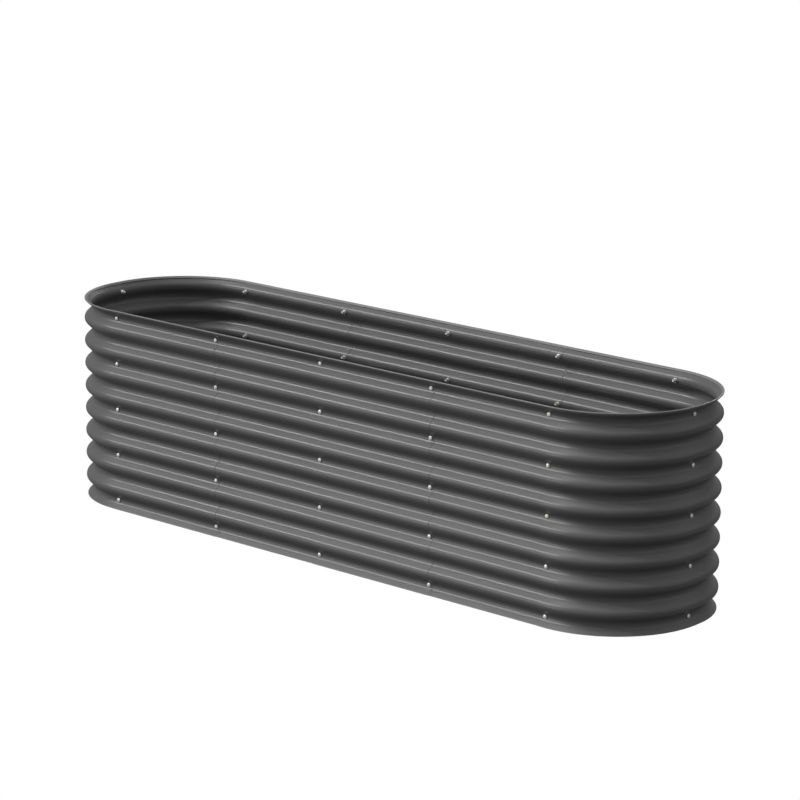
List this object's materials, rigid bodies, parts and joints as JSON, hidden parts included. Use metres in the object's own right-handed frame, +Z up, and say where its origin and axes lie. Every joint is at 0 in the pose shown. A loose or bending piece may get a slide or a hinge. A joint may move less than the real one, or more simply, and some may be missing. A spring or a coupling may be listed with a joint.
{
  "type": "raised garden bed",
  "caption": "Oval raised garden bed, open at top and bottom: corrugated steel panels lapped and bolted into a ring, tied by cross braces and finished with a rubber edge strip.",
  "frame": {"origin": "on the ground under the centre of the oval", "axes": "+X along the bed, +Y across it towards the back, +Z up"},
  "size_m": [2.264, 0.588, 0.6129],
  "materials": {
    "panel_paint": "satin charcoal grey coating on corrugated steel sheet",
    "bolt_zinc": "bright zinc-plated steel",
    "nut_zinc": "zinc-plated steel",
    "brace_galvanised": "hot-dip galvanised steel with a faint spangle",
    "edging_rubber": "smooth grey rubber extrusion"
  },
  "bodies": {
    "root": {"back_panel_1": "panel_paint", "back_panel_2": "panel_paint", "back_panel_3": "panel_paint", "back_panel_4": "panel_paint", "bolts_back_1": "bolt_zinc", "bolts_back_2": "bolt_zinc", "bolts_back_3": "bolt_zinc", "bolts_back_4": "bolt_zinc", "bolts_back_5": "bolt_zinc", "bolts_front_1": "bolt_zinc", "bolts_front_2": "bolt_zinc", "bolts_front_3": "bolt_zinc", "bolts_front_4": "bolt_zinc", "bolts_front_5": "bolt_zinc", "bolts_left_end": "bolt_zinc", "bolts_right_end": "bolt_zinc", "corner_panel_back_left": "panel_paint", "corner_panel_back_right": "panel_paint", "corner_panel_front_left": "panel_paint", "corner_panel_front_right": "panel_paint", "cross_brace_1": "brace_galvanised", "cross_brace_2": "brace_galvanised", "cross_brace_3": "brace_galvanised", "front_panel_1": "panel_paint", "front_panel_2": "panel_paint", "front_panel_3": "panel_paint", "front_panel_4": "panel_paint", "nuts_back_1": "nut_zinc", "nuts_back_2": "nut_zinc", "nuts_back_3": "nut_zinc", "nuts_back_4": "nut_zinc", "nuts_back_5": "nut_zinc", "nuts_front_1": "nut_zinc", "nuts_front_2": "nut_zinc", "nuts_front_3": "nut_zinc", "nuts_front_4": "nut_zinc", "nuts_front_5": "nut_zinc", "nuts_left_end": "nut_zinc", "nuts_right_end": "nut_zinc", "rim_edging": "edging_rubber", "washers_back_1": "nut_zinc", "washers_back_2": "nut_zinc", "washers_back_3": "nut_zinc", "washers_back_4": "nut_zinc", "washers_back_5": "nut_zinc", "washers_front_1": "nut_zinc", "washers_front_2": "nut_zinc", "washers_front_3": "nut_zinc", "washers_front_4": "nut_zinc", "washers_front_5": "nut_zinc", "washers_left_end": "nut_zinc", "washers_right_end": "nut_zinc"}
  },
  "joints": []
}
